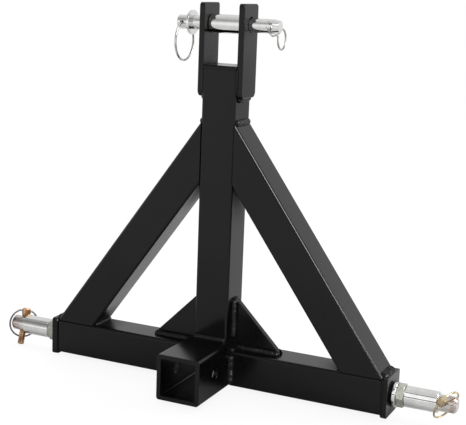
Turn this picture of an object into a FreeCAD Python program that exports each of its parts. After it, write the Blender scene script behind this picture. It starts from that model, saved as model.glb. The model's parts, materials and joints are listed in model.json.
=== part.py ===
import FreeCAD, Part

import math
import os
import re

import Sketcher

# Three point hitch adapter: a welded A frame that carries a square receiver socket.
# Millimetres. X runs along the bar to the right, Y towards the back, Z up.
# The origin is at the middle of the bar, on its underside.

SIZES = {
    # Square receiver socket, open at the front
    "receiver_side": 63.5,
    "receiver_wall": 5.75,
    "receiver_corner": 4,
    "receiver_inner_corner": 1.5,
    "receiver_overhang": 95,
    "receiver_hole": 16.8,
    "receiver_hole_setback": 48,
    # Square tube of the bar, the mast and the braces
    "tube_side": 50,
    "tube_wall": 4,
    "tube_corner": 4,
    "bar_length": 508,
    "mast_top": 438,
    "cap_thick": 5,
    "cap_round": 3,
    "brace_drop": 71.5,
    "brace_toe": 1.6,
    # Plates
    "plate_lip": 2.5,
    "plate_thick": 6,
    "plate_corner": 4,
    "gusset_thick": 8,
    "gusset_rise": 71.5,
    "gusset_run": 70,
    "gusset_tip": 3,
    "gusset_blunt": 4.5,
    "ear_thick": 8,
    "ear_inset": 2.5,
    "ear_lap": 38,
    "ear_over_pin": 28,
    "ear_top_corner": 5,
    "ear_bottom_corner": 8,
    "ear_hole_slack": 2,
    "ear_edge": 0.8,
    # Weld beads, as the leg of each
    "receiver_bead": 8,
    "foot_bead": 6,
    "plate_bead": 3.5,
    "plate_bead_flat": 0.35,
    "brace_bead": 5,
    "gusset_bead": 7,
    "ear_bead": 5,
    "ear_side_bead": 2.4,
    "bead_inset": 3,
    # Top link pin, its sleeve and its pull ring
    "top_pin": 19,
    "pin_over_mast": 59,
    "pin_tip_past_clip": 11.5,
    "top_pin_taper": 8,
    "top_pin_tip_end": 16,
    "flange": 33,
    "flange_thick": 3.5,
    "flange_play": 19.5,
    "boss_length": 18,
    "boss_chamfer": 1,
    "ring_hole_slack": 2.5,
    "ring_hole_setback": 8,
    "pull_ring": 52.8,
    "pull_wire": 3,
    "sleeve_wall": 3.1,
    "sleeve_end_gap": 0.5,
    "turning_gap": 0.1,
    "resting_gap": 0.3,
    # Hair pin clip across the end of the top link pin
    "clip_wire": 2.6,
    "clip_hole_slack": 0.6,
    "clip_out": 30.5,
    "clip_tilt": 24.8,
    "clip_leg_past": 4.3,
    "clip_loop": 27,
    "clip_loop_past": 29.5,
    "clip_neck": 3.8,
    "clip_neck_bend": 4,
    "clip_leg_bend": 5,
    "clip_flare_past": 8,
    "clip_flare_rise": 9,
    "clip_dip_past": 4,
    "clip_dip_rise": 5.5,
    "clip_seat_half": 7,
    "clip_seat_gap": 0.05,
    "clip_shoulder_past": 9.5,
    # Lower link pins with their nuts, washers and bushings
    "lower_pin": 22.2,
    "lower_pin_chamfer": 3,
    "thread": 19,
    "thread_past_nut": 6,
    "thread_hole_slack": 1,
    "lock_washer": 30,
    "lock_washer_thick": 2.6,
    "lock_washer_split": 2,
    "washer": 34.6,
    "washer_thick": 5,
    "washer_chamfer": 0.5,
    "nut_flats": 28.6,
    "nut_thick": 10.4,
    "nut_chamfer": 1.5,
    "nut_chamfer_depth": 1.8,
    "inner_nut_flats": 28.6,
    "inner_nut_thick": 12,
    "bushing_wall": 3.1,
    "bushing_length": 44.5,
    "bushing_gap": 0.5,
    "bushing_chamfer": 0.8,
    # Lynch pins and their snap rings
    "lynch_past_bushing": 7,
    "lynch_from_tip": 17.4,
    "lynch_shank": 9.5,
    "lynch_hole_slack": 0.9,
    "lynch_tip_past": 20.9,
    "lynch_tip_chamfer": 1.5,
    "lynch_head_rise": 12.4,
    "lynch_head_width": 13,
    "lynch_head_thick": 9.5,
    "lynch_head_flare": 6.5,
    "lynch_head_crown": 2.5,
    "lynch_head_round": 1.6,
    "lynch_seat": 0.2,
    "lynch_ring": 42.6,
    "lynch_wire": 2.6,
    "lynch_wire_gap": 0.1,
    "lynch_pivot_rise": 8.4,
    "lynch_ring_stub": 7.7,
    "lynch_ring_bend": 5,
    "lynch_ring_end_gap": 2,
    "left_lynch_twist": 48,
    "right_lynch_twist": 57,
    "left_lynch_turn": 18,
    "right_lynch_turn": -65,
}

document = FreeCAD.newDocument("HitchAdapter")
sheet = document.addObject("Spreadsheet::Sheet", "Sizes")
for row, (name, value) in enumerate(SIZES.items(), start=1):
    sheet.set(f"A{row}", name)
    sheet.set(f"B{row}", str(value))
    sheet.setAlias(f"B{row}", name)
document.recompute()

X_AXIS = FreeCAD.Vector(1, 0, 0)
Y_AXIS = FreeCAD.Vector(0, 1, 0)
Z_AXIS = FreeCAD.Vector(0, 0, 1)
# Slack of the tests that pick edges, in millimetres and as a share of one
NEAR = 0.01
PARALLEL = 1e-6
nodes = []

# Places that several pieces share, as formulas of the sizes
BRACE_TOP = "(mast_top - brace_drop)"
BRACE_FOOT = "(bar_length / 2 - brace_toe)"
BRACE_ANGLE = f"(atan(({BRACE_TOP} - tube_side) / ({BRACE_FOOT} - tube_side / 2)) / (1 deg))"
GUSSET_REACH = "(tube_side / 2 + gusset_run)"
GUSSET_TOP = "(tube_side + gusset_rise)"
TOP_PIN_HEIGHT = "(mast_top + pin_over_mast)"
EAR_BOTTOM = "(mast_top - ear_lap)"
EAR_DEPTH = "(tube_side - 2 * ear_inset)"
FLANGE_FACE = "(tube_side / 2 + ear_thick + flange_play)"
BOSS_END = "(tube_side / 2 + ear_thick + flange_play + flange_thick + boss_length)"
CLIP_PLACE = "(tube_side / 2 + ear_thick + clip_out)"
PIN_HEIGHT = "(tube_side / 2)"
WASHER_START = "(bar_length / 2 + plate_thick + lock_washer_thick)"
NUT_START = "(bar_length / 2 + plate_thick + lock_washer_thick + washer_thick)"
SHOULDER = "(bar_length / 2 + plate_thick + lock_washer_thick + washer_thick + nut_thick)"
BUSHING_END = f"({SHOULDER} + bushing_gap + bushing_length)"
LYNCH_PLACE = f"({BUSHING_END} + lynch_past_bushing)"
LYNCH_SEAT = "(lower_pin / 2 + lynch_seat)"
LYNCH_PIVOT = "(lower_pin / 2 + lynch_pivot_rise)"


def size(name):
    """Value of one cell of the sheet."""
    return float(sheet.get(name))


def tie(thing, prop, formula):
    """Bind a property to a formula of sheet names."""
    pattern = r"\b(" + "|".join(SIZES) + r")\b"
    thing.setExpression(prop, re.sub(pattern, r"Sizes.\1", formula))


def node(thing, name):
    """Name a finished sub-part."""
    thing.Label = name
    nodes.append(thing)
    return thing


def add(kind, name, **formulas):
    """Add an object with its properties bound to formulas."""
    thing = document.addObject(kind, name)
    for prop, formula in formulas.items():
        tie(thing, prop, formula)
    return thing


def placed(place, axis, angle):
    """Formula of a placement: a turn about an axis, then a move to a place."""
    turn = f"rotation(vector({axis.x}; {axis.y}; {axis.z}); {angle})"
    return f"placement(vector({'; '.join(place)}); {turn})"


def move(thing, x="0", y="0", z="0", axis=Z_AXIS, angle="0"):
    """Bind the place and the turn of an object."""
    tie(thing, "Placement", placed((x, y, z), axis, angle))


# Bodies and sketches

def new_body(name):
    """Start a body and call it after its node."""
    return node(document.addObject("PartDesign::Body", name), name)


def new_sketch(body, plane, offset):
    """Sketch on one of the body's own planes, moved along its normal."""
    sketch = body.newObject("Sketcher::SketchObject", body.Name + "_sketch")
    base = [item for item in body.Origin.OriginFeatures if item.Role == plane + "_Plane"][0]
    sketch.AttachmentSupport = [(base, "")]
    sketch.MapMode = "FlatFace"
    tie(sketch, "AttachmentOffset.Base.z", offset)
    return sketch


def outline(body, plane, corners, offset="0"):
    """Closed outline with straight sides through corners given as formulas."""
    sketch = new_sketch(body, plane, offset)
    count = len(corners)
    start = []
    for index in range(count):
        turn = 2 * math.pi * index / count
        start.append(FreeCAD.Vector(math.cos(turn), math.sin(turn), 0))
    for index in range(count):
        sketch.addGeometry(Part.LineSegment(start[index], start[(index + 1) % count]), False)
    for index in range(count):
        sketch.addConstraint(Sketcher.Constraint("Coincident", index, 2, (index + 1) % count, 1))
    for index, corner in enumerate(corners):
        place = (start[index].x, start[index].y)
        for kind, value, formula in zip(("DistanceX", "DistanceY"), place, corner):
            number = sketch.addConstraint(Sketcher.Constraint(kind, -1, 1, index, 1, value))
            tie(sketch, f"Constraints[{number}]", formula)
    return sketch


def rectangle(body, plane, low_x, high_x, low_y, high_y, offset="0"):
    """Upright rectangle between four formulas."""
    corners = [(low_x, low_y), (high_x, low_y), (high_x, high_y), (low_x, high_y)]
    return outline(body, plane, corners, offset)


def circle(body, plane, x, y, diameter, offset="0"):
    """Circle with its centre and diameter bound."""
    sketch = new_sketch(body, plane, offset)
    sketch.addGeometry(Part.Circle(FreeCAD.Vector(1, 1, 0), Z_AXIS, 1), False)
    across = sketch.addConstraint(Sketcher.Constraint("Diameter", 0, 2))
    tie(sketch, f"Constraints[{across}]", diameter)
    for kind, formula in (("DistanceX", x), ("DistanceY", y)):
        number = sketch.addConstraint(Sketcher.Constraint(kind, -1, 1, 0, 3, 1))
        tie(sketch, f"Constraints[{number}]", formula)
    return sketch


def hexagon(body, plane, flats, centre_y, offset="0"):
    """Regular hexagon with two flats level, centred at x 0."""
    corners = []
    for index in range(6):
        turn = 60 * index
        across = f"{flats} / cos(30) / 2"
        corners.append((f"{across} * cos({turn})", f"{centre_y} + {across} * sin({turn})"))
    return outline(body, plane, corners, offset)


def pad(body, sketch, length, symmetric=False):
    """Solid from a sketch."""
    feature = body.newObject("PartDesign::Pad", body.Name + "_pad")
    feature.Profile = sketch
    if symmetric:
        feature.SideType = "Symmetric"
    tie(feature, "Length", length)
    document.recompute()
    return feature


def pocket(body, sketch):
    """Cut a sketch right through, both ways."""
    before = body.Shape.Volume
    feature = body.newObject("PartDesign::Pocket", body.Name + "_pocket")
    feature.Profile = sketch
    feature.Type = "ThroughAll"
    feature.SideType = "Symmetric"
    document.recompute()
    if not body.Shape.Volume < before:
        raise RuntimeError(body.Label + ": a pocket removed nothing")
    return feature


def revolve(body, sketch, axis="X_Axis"):
    """Turned solid about one of the body's own axes."""
    feature = body.newObject("PartDesign::Revolution", body.Name + "_turned")
    feature.Profile = sketch
    line = [item for item in body.Origin.OriginFeatures if item.Role == axis][0]
    feature.ReferenceAxis = (line, [""])
    feature.Angle = 360
    document.recompute()
    return feature


def chosen_edges(shape, test):
    """Names of the edges that pass a test."""
    return [f"Edge{number}" for number, edge in enumerate(shape.Edges, start=1) if test(edge)]


def runs_along(edge, axis):
    """True for a straight edge parallel to an axis."""
    if edge.Curve.TypeId != "Part::GeomLine":
        return False
    return abs(abs(edge.Curve.Direction.dot(axis)) - 1) < PARALLEL


def wide_circle(edge, radius):
    """True for a round edge larger than a radius."""
    return edge.Curve.TypeId == "Part::GeomCircle" and edge.Curve.Radius > radius


def round_edges(body, radius, test):
    """Fillet the edges of the body's tip that pass a test."""
    base = body.Tip
    feature = body.newObject("PartDesign::Fillet", body.Name + "_fillet")
    feature.Base = (base, chosen_edges(base.Shape, test))
    tie(feature, "Radius", radius)
    document.recompute()
    return feature


def bevel_edges(body, width, test):
    """Chamfer the edges of the body's tip that pass a test."""
    base = body.Tip
    feature = body.newObject("PartDesign::Chamfer", body.Name + "_chamfer")
    feature.Base = (base, chosen_edges(base.Shape, test))
    tie(feature, "Size", width)
    document.recompute()
    return feature


# Frame: receiver, bar, mast and braces

def receiver_tube():
    """Heavy square socket along Y, with a pin hole through both sides."""
    body = new_body("receiver_tube")
    back = "-tube_side / 2"
    outer = rectangle(body, "XZ", "-receiver_side / 2", "receiver_side / 2", "0", "receiver_side", back)
    pad(body, outer, "tube_side + receiver_overhang")
    round_edges(body, "receiver_corner", lambda edge: runs_along(edge, Y_AXIS))
    inner_half = "(receiver_side / 2 - receiver_wall)"
    pocket(body, rectangle(body, "XZ", "-" + inner_half, inner_half,
                           "receiver_wall", "receiver_side - receiver_wall"))
    reach = size("receiver_side") / 2 - size("receiver_wall") + NEAR

    def inside(edge):
        return runs_along(edge, Y_AXIS) and abs(edge.CenterOfMass.x) < reach

    round_edges(body, "receiver_inner_corner", inside)
    front = "-tube_side / 2 - receiver_overhang + receiver_hole_setback"
    pocket(body, circle(body, "YZ", front, "receiver_side / 2", "receiver_hole"))


def square_tube(name, plane, low, high, start, length, axis):
    """Square tube of the frame's own stock along an axis."""
    body = new_body(name)
    half = "tube_side / 2"
    inner = "(tube_side / 2 - tube_wall)"
    pad(body, rectangle(body, plane, "-" + half, half, low, high, start), length)
    round_edges(body, "tube_corner", lambda edge: runs_along(edge, axis))
    pocket(body, rectangle(body, plane, "-" + inner, inner, low + " + tube_wall", high + " - tube_wall"))
    return body


def cross_tube(side, turn):
    """Half of the bar, from the receiver's side to the end plate."""
    body = square_tube(side + "_cross_tube", "YZ", "0", "tube_side", "receiver_side / 2",
                       "(bar_length - receiver_side) / 2", X_AXIS)
    move(body, angle=turn)


def mast_tube():
    """Upright tube that stands on the receiver."""
    square_tube("mast_tube", "XY", "-tube_side / 2", "tube_side / 2", "receiver_side",
                "mast_top - receiver_side", Z_AXIS)


def mast_cap():
    """Plate that closes the mast between the ears, rounded where it is welded."""
    body = new_body("mast_cap")
    half = "tube_side / 2"
    pad(body, rectangle(body, "XY", "-" + half, half, "-" + half, half, "mast_top"), "cap_thick")
    top = size("mast_top") + size("cap_thick")

    def front_or_back_top(edge):
        return runs_along(edge, X_AXIS) and edge.CenterOfMass.z > top - NEAR

    round_edges(body, "cap_round", front_or_back_top)


def brace(side, turn):
    """Sloping tube, cut to meet the mast's side and the bar's top."""
    body = new_body(side + "_brace")
    slope = f"tan({BRACE_ANGLE})"
    lean = f"cos({BRACE_ANGLE})"
    corners = []
    for inset in ("0", "tube_wall"):
        # A line parallel to the brace's outer face, at a depth from it, meets the mast and the bar
        for depth, ends in ((inset, "down"), (f"(tube_side - {inset})", "up")):
            on_mast = ("tube_side / 2", f"{BRACE_TOP} - {depth} / {lean}")
            run = f"({BRACE_TOP} - tube_side - {depth} / {lean}) / {slope}"
            on_bar = (f"tube_side / 2 + {run}", "tube_side")
            corners += [on_mast, on_bar] if ends == "down" else [on_bar, on_mast]
    pad(body, outline(body, "XZ", corners[:4]), "tube_side", symmetric=True)
    drop = size("mast_top") - size("brace_drop") - size("tube_side")
    spread = (size("bar_length") - size("tube_side")) / 2 - size("brace_toe")
    along = unit(FreeCAD.Vector(spread, 0, -drop))
    round_edges(body, "tube_corner", lambda edge: runs_along(edge, along))
    base = body.Tip
    hollow = body.newObject("PartDesign::Pocket", body.Name + "_bore")
    hollow.Profile = outline(body, "XZ", corners[4:])
    hollow.SideType = "Symmetric"
    tie(hollow, "Length", "tube_side - 2 * tube_wall")
    document.recompute()
    if not body.Shape.Volume < base.Shape.Volume:
        raise RuntimeError(body.Label + ": the bore removed nothing")
    move(body, angle=turn)


def end_plate(side, turn):
    """Square plate on the end of the bar, drilled for the lower pin's thread."""
    body = new_body(side + "_end_plate")
    half = "(tube_side / 2 + plate_lip)"
    square = rectangle(body, "YZ", "-" + half, half, "-plate_lip", "tube_side + plate_lip", "bar_length / 2")
    pad(body, square, "plate_thick")
    round_edges(body, "plate_corner", lambda edge: runs_along(edge, X_AXIS))
    pocket(body, circle(body, "YZ", "0", PIN_HEIGHT, "thread + thread_hole_slack"))
    move(body, angle=turn)


def gusset(side, turn):
    """Triangular rib between the mast, the receiver and the bar."""
    body = new_body(side + "_gusset")
    corners = [
        ("tube_side / 2", "receiver_side"),
        ("receiver_side / 2", "receiver_side"),
        ("receiver_side / 2", "tube_side"),
        (GUSSET_REACH, "tube_side"),
        (GUSSET_REACH, "tube_side + gusset_blunt"),
        ("tube_side / 2 + gusset_tip", GUSSET_TOP),
        ("tube_side / 2", GUSSET_TOP),
    ]
    pad(body, outline(body, "XZ", corners), "gusset_thick", symmetric=True)
    move(body, angle=turn)


def ear(side, turn):
    """Upright plate on the mast's side that carries the top link pin."""
    body = new_body(side + "_ear")
    half = EAR_DEPTH + " / 2"
    top = TOP_PIN_HEIGHT + " + ear_over_pin"
    pad(body, rectangle(body, "YZ", "-" + half, half, EAR_BOTTOM, top, "tube_side / 2"), "ear_thick")
    middle = size("mast_top")
    for radius, above in (("ear_top_corner", True), ("ear_bottom_corner", False)):
        round_edges(body, radius,
                    lambda edge: runs_along(edge, X_AXIS) and (edge.CenterOfMass.z > middle) == above)
    outer = size("tube_side") / 2 + size("ear_thick")
    bevel_edges(body, "ear_edge", lambda edge: abs(edge.CenterOfMass.x - outer) < NEAR)
    centre = TOP_PIN_HEIGHT + " + ear_hole_slack / 2 - resting_gap"
    pocket(body, circle(body, "YZ", "0", centre, "top_pin + ear_hole_slack"))
    move(body, angle=turn)


# Weld beads: quarter rounds that fill the corner between two faces

def bead(name, leg, length, place, along, first):
    """Quarter round from a place along an axis, opening from the first direction anticlockwise."""
    thing = add("Part::Cylinder", name, Radius=leg, Height=length)
    thing.Angle = 90
    second = along.cross(first)
    thing.Placement = FreeCAD.Placement(FreeCAD.Vector(), FreeCAD.Rotation(first, second, along))
    for axis, formula in zip("xyz", place):
        tie(thing, "Placement.Base." + axis, formula)
    return thing


def group(name, pieces):
    """One node made of several beads that lie apart."""
    thing = document.addObject("Part::Compound", name)
    thing.Links = pieces
    return node(thing, name)


def receiver_welds():
    """Beads between the receiver and the bar: front corners and top edges, on both sides."""
    beads = []
    length = "tube_side / 2 - gusset_thick / 2 - gusset_bead"
    for sign, side in ((1, "right"), (-1, "left")):
        x = f"{sign} * receiver_side / 2"
        upright = -Y_AXIS if sign > 0 else -X_AXIS
        level = X_AXIS if sign > 0 else Z_AXIS
        beads.append(bead(side + "_front_bead", "receiver_bead", "tube_side - 2 * bead_inset",
                          (x, "-tube_side / 2", "bead_inset"), Z_AXIS, upright))
        beads.append(bead(side + "_top_bead", "foot_bead", length,
                          (x, "-gusset_thick / 2 - gusset_bead", "tube_side"), -Y_AXIS, level))
        beads.append(bead(side + "_rear_bead", "foot_bead", length,
                          (x, "tube_side / 2", "tube_side"), -Y_AXIS, level))
    group("receiver_welds", beads)


def mast_foot_weld():
    """Bead along the front of the mast's foot, on top of the receiver."""
    front = bead("mast_foot_weld", "foot_bead", "tube_side",
                 ("-tube_side / 2", "-tube_side / 2", "receiver_side"), X_AXIS, Z_AXIS)
    node(front, "mast_foot_weld")


def gusset_welds():
    """Fat beads on both faces of each gusset, along the bar and up the mast."""
    beads = []
    for sign, side in ((1, "right"), (-1, "left")):
        for face, which in ((-1, "front"), (1, "rear")):
            y = f"{face} * gusset_thick / 2"
            outward = Y_AXIS * face
            along = X_AXIS * sign
            level = outward if along.cross(outward).z > 0 else Z_AXIS
            length = GUSSET_REACH + " - receiver_side / 2"
            beads.append(bead(f"{side}_{which}_gusset_foot", "gusset_bead", length,
                              (f"{sign} * receiver_side / 2", y, "tube_side"), along, level))
            upright = along if Z_AXIS.cross(along).dot(outward) > 0 else outward
            beads.append(bead(f"{side}_{which}_gusset_side", "gusset_bead", GUSSET_TOP + " - receiver_side",
                              (f"{sign} * tube_side / 2", y, "receiver_side"), Z_AXIS, upright))
    group("gusset_welds", beads)


def brace_welds():
    """Beads across each brace where it meets the mast and the bar, above and below."""
    beads = []
    low_drop = f"tube_side / cos({BRACE_ANGLE})"
    low_run = f"({BRACE_TOP} - tube_side - {low_drop}) / tan({BRACE_ANGLE})"
    half = "tube_side / 2"
    # Each: name, angle between the faces, distance from the mast's axis, height, start direction
    seams = (
        ("mast_top", "90 + " + BRACE_ANGLE, half, BRACE_TOP, "-" + BRACE_ANGLE),
        ("mast_under", "90 - " + BRACE_ANGLE, half, BRACE_TOP + " - " + low_drop, "-90"),
        ("bar_inner", BRACE_ANGLE, half + " + " + low_run, "tube_side", "180 - " + BRACE_ANGLE),
    )
    for side, turn in (("right", 0), ("left", 180)):
        for name, spread, x, z, start in seams:
            thing = add("Part::Cylinder", f"{side}_{name}_bead", Radius="brace_bead", Angle=spread,
                        Height="tube_side - 2 * tube_corner")
            tie(thing, "Placement", placed(("0", "0", "0"), Z_AXIS, str(turn)) + " * "
                + placed((x, half + " - tube_corner", z), X_AXIS, "90") + " * "
                + placed(("0", "0", "0"), Z_AXIS, start))
            beads.append(thing)
    group("brace_welds", beads)


def ear_welds():
    """Beads under each ear and up both of its edges, in the corner with the mast."""
    beads = []
    for sign, side in ((1, "right"), (-1, "left")):
        x = f"{sign} * tube_side / 2"
        level = X_AXIS if sign > 0 else -Z_AXIS
        beads.append(bead(side + "_ear_foot", "ear_bead", EAR_DEPTH + " - 2 * ear_bottom_corner",
                          (x, f"-{EAR_DEPTH} / 2 + ear_bottom_corner", EAR_BOTTOM), Y_AXIS, level))
        for face, which in ((-1, "front"), (1, "rear")):
            rod = add("Part::Cylinder", f"{side}_{which}_ear_rod", Radius="ear_side_bead",
                      Height="ear_lap - ear_bottom_corner")
            place = (x, f"{face} * {EAR_DEPTH} / 2", EAR_BOTTOM + " + ear_bottom_corner")
            for axis, formula in zip("xyz", place):
                tie(rod, "Placement.Base." + axis, formula)
            off_mast = add("Part::Cut", f"{side}_{which}_ear_off_mast")
            off_mast.Base = rod
            off_mast.Tool = document.getObject("mast_tube")
            off_ear = add("Part::Cut", f"{side}_{which}_ear_side")
            off_ear.Base = off_mast
            off_ear.Tool = document.getObject(side + "_ear")
            beads.append(off_ear)
    group("ear_welds", beads)


def end_plate_weld(side, turn):
    """Bead all round the bar's end, against the end plate, and up to the brace's outer face."""
    body = document.addObject("PartDesign::Body", side + "_end_plate_bead")
    half = "(tube_side / 2 + plate_bead)"
    start = "bar_length / 2 - plate_bead"
    profile = rectangle(body, "YZ", "-" + half, half, "-plate_bead", "tube_side + plate_bead", start)
    pad(body, profile, "plate_bead")
    round_edges(body, "tube_corner + plate_bead", lambda edge: runs_along(edge, X_AXIS))
    pocket(body, rectangle(body, "YZ", "-tube_side / 2", "tube_side / 2", "0", "tube_side"))
    tube_half = size("tube_side") / 2 + NEAR

    def reach(edge):
        """Furthest that an edge gets from the middle of the tube, across or up."""
        box = edge.BoundBox
        across = max(box.YMax, -box.YMin)
        return max(across, box.ZMax - size("tube_side") / 2, size("tube_side") / 2 - box.ZMin)

    round_edges(body, "tube_corner", lambda edge: runs_along(edge, X_AXIS) and reach(edge) < tube_half)
    face = size("bar_length") / 2 - size("plate_bead")

    def outer_rim(edge):
        return abs(edge.CenterOfMass.x - face) < NEAR and reach(edge) > tube_half

    round_edges(body, "plate_bead - plate_bead_flat", outer_rim)
    move(body, angle=turn)
    trimmed = document.addObject("Part::Cut", side + "_end_plate_weld")
    trimmed.Base = body
    trimmed.Tool = document.getObject(side + "_brace")
    node(trimmed, side + "_end_plate_weld")


# Lower link pins and what they carry

def lower_pin(side, sign, turn):
    """Turned pin with a threaded shank through the end plate and a cross hole near its tip."""
    body = new_body(side + "_lower_pin")
    tip = f"({LYNCH_PLACE} + lynch_from_tip)"
    inner_end = f"{sign} * (bar_length / 2 - inner_nut_thick - thread_past_nut)"
    corners = [
        (inner_end, "0"),
        (inner_end, "thread / 2"),
        (f"{sign} * {SHOULDER}", "thread / 2"),
        (f"{sign} * {SHOULDER}", "lower_pin / 2"),
        (f"{sign} * ({tip} - lower_pin_chamfer)", "lower_pin / 2"),
        (f"{sign} * {tip}", "lower_pin / 2 - lower_pin_chamfer"),
        (f"{sign} * {tip}", "0"),
    ]
    revolve(body, outline(body, "XY", corners))
    pocket(body, circle(body, "XY", f"{sign} * {LYNCH_PLACE}", "0", "lynch_shank + lynch_hole_slack"))
    move(body, z=PIN_HEIGHT, axis=X_AXIS, angle="-" + turn)


def lock_washer(side, turn):
    """Split spring washer against the end plate, its gap turned down."""
    body = new_body(side + "_lock_washer")
    start = "bar_length / 2 + plate_thick"
    pad(body, circle(body, "YZ", "0", PIN_HEIGHT, "lock_washer", start), "lock_washer_thick")
    pocket(body, circle(body, "YZ", "0", PIN_HEIGHT, "thread"))
    low = PIN_HEIGHT + " - lock_washer"
    gap = [
        ("lock_washer_split / 2", PIN_HEIGHT),
        ("-lock_washer_split / 2", PIN_HEIGHT),
        ("-lock_washer_split / 2", low),
        ("lock_washer_split / 2", low),
    ]
    pocket(body, outline(body, "YZ", gap))
    move(body, angle=turn)


def washer(side, turn):
    """Plain washer between the spring washer and the nut."""
    body = new_body(side + "_washer")
    pad(body, circle(body, "YZ", "0", PIN_HEIGHT, "washer", WASHER_START), "washer_thick")
    pocket(body, circle(body, "YZ", "0", PIN_HEIGHT, "thread"))
    bevel_edges(body, "washer_chamfer", lambda edge: wide_circle(edge, size("thread") / 2 + NEAR))
    move(body, angle=turn)


def hex_nut(name, turn, start, thick, flats):
    """Hexagon nut with its corners bevelled on both faces."""
    body = new_body(name)
    pad(body, hexagon(body, "YZ", flats, "0", start), thick)
    corner = f"{flats} / cos(30) / 2"
    for face, inward in ((start, 1), (f"{start} + {thick}", -1)):
        corners = [
            (face, f"{flats} / 2 - nut_chamfer / 2"),
            (face, corner + " + nut_chamfer"),
            (f"{face} + {inward} * nut_chamfer_depth", corner + " + nut_chamfer"),
        ]
        cut = body.newObject("PartDesign::Groove", body.Name + "_bevel")
        cut.Profile = outline(body, "XY", corners)
        line = [item for item in body.Origin.OriginFeatures if item.Role == "X_Axis"][0]
        cut.ReferenceAxis = (line, [""])
        cut.Angle = 360
        document.recompute()
    pocket(body, circle(body, "YZ", "0", "0", "thread"))
    move(body, z=PIN_HEIGHT, angle=turn)


def ring_profile(body, low, high, inner, outer, chamfer):
    """Section of a bushing with its outer edges bevelled, turned about X."""
    corners = [
        (low, f"{inner} / 2"),
        (high, f"{inner} / 2"),
        (high, f"{outer} / 2 - {chamfer}"),
        (f"{high} - {chamfer}", f"{outer} / 2"),
        (f"{low} + {chamfer}", f"{outer} / 2"),
        (low, f"{outer} / 2 - {chamfer}"),
    ]
    revolve(body, outline(body, "XY", corners))


def bushing(side, turn):
    """Loose bushing that turns on the lower pin and brings it up to the larger hook size."""
    body = new_body(side + "_bushing")
    low = SHOULDER + " + bushing_gap"
    inner = "(lower_pin + 2 * turning_gap)"
    ring_profile(body, low, BUSHING_END, inner, f"({inner} + 2 * bushing_wall)", "bushing_chamfer")
    move(body, z=PIN_HEIGHT, angle=turn)


# Lynch pins with their snap rings

def lynch_placement(side, sign, turn):
    """Frame of a lynch pin: shank along its Z, hinge of the ring along its X."""
    place = (f"{sign} * {LYNCH_PLACE}", "0", PIN_HEIGHT)
    return placed(place, X_AXIS, "-" + turn) + " * " + placed(("0", "0", "0"), Z_AXIS, side + "_lynch_twist")


def lynch_pin(side, sign, turn):
    """Shank through the lower pin with a flared head that holds the ring."""
    body = new_body(side + "_lynch_pin")
    tip = "(lower_pin / 2 + lynch_tip_past)"
    shank = [
        ("0", "-" + tip),
        ("lynch_shank / 2 - lynch_tip_chamfer", "-" + tip),
        ("lynch_shank / 2", f"lynch_tip_chamfer - {tip}"),
        ("lynch_shank / 2", LYNCH_SEAT),
        ("0", LYNCH_SEAT),
    ]
    revolve(body, outline(body, "XZ", shank), "Z_Axis")
    flare = LYNCH_SEAT + " + lynch_head_flare"
    top = "(lower_pin / 2 + lynch_head_rise)"
    head = []
    for way in ("", "-"):
        half = [
            (way + "lynch_shank / 2", LYNCH_SEAT),
            (way + "lynch_head_width / 2", flare),
            (way + "lynch_head_width / 2", top + " - lynch_head_crown"),
            (way + "(lynch_head_width / 2 - lynch_head_crown)", top),
        ]
        head += half if way == "" else half[::-1]
    pad(body, outline(body, "XZ", head), "lynch_head_thick", symmetric=True)
    face = size("lynch_head_thick") / 2
    above = size("lower_pin") / 2 + size("lynch_head_flare") / 2

    def rim(edge):
        return abs(abs(edge.CenterOfMass.y) - face) < NEAR and edge.CenterOfMass.z > above

    round_edges(body, "lynch_head_round", rim)
    pocket(body, circle(body, "YZ", "0", LYNCH_PIVOT, "lynch_wire + 2 * lynch_wire_gap"))
    tie(body, "Placement", lynch_placement(side, sign, turn))


def unit(vector):
    """The same direction with a length of one."""
    return FreeCAD.Vector(vector).normalize()


def arc(centre, start, end, bulge):
    """Round edge about a centre from start to end, passing on the side of bulge."""
    radius = (start - centre).Length
    return Part.Arc(start, centre + unit(bulge) * radius, end).toShape()


def wire_solid(edges, diameter):
    """Round wire along a path of tangent lines and arcs."""
    path = Part.Wire(edges)
    first = edges[0]
    tangent = first.tangentAt(first.FirstParameter)
    start = first.valueAt(first.FirstParameter)
    section = Part.Wire([Part.makeCircle(diameter / 2, start, tangent)])
    return path.makePipeShell([section], True, False)


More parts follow.
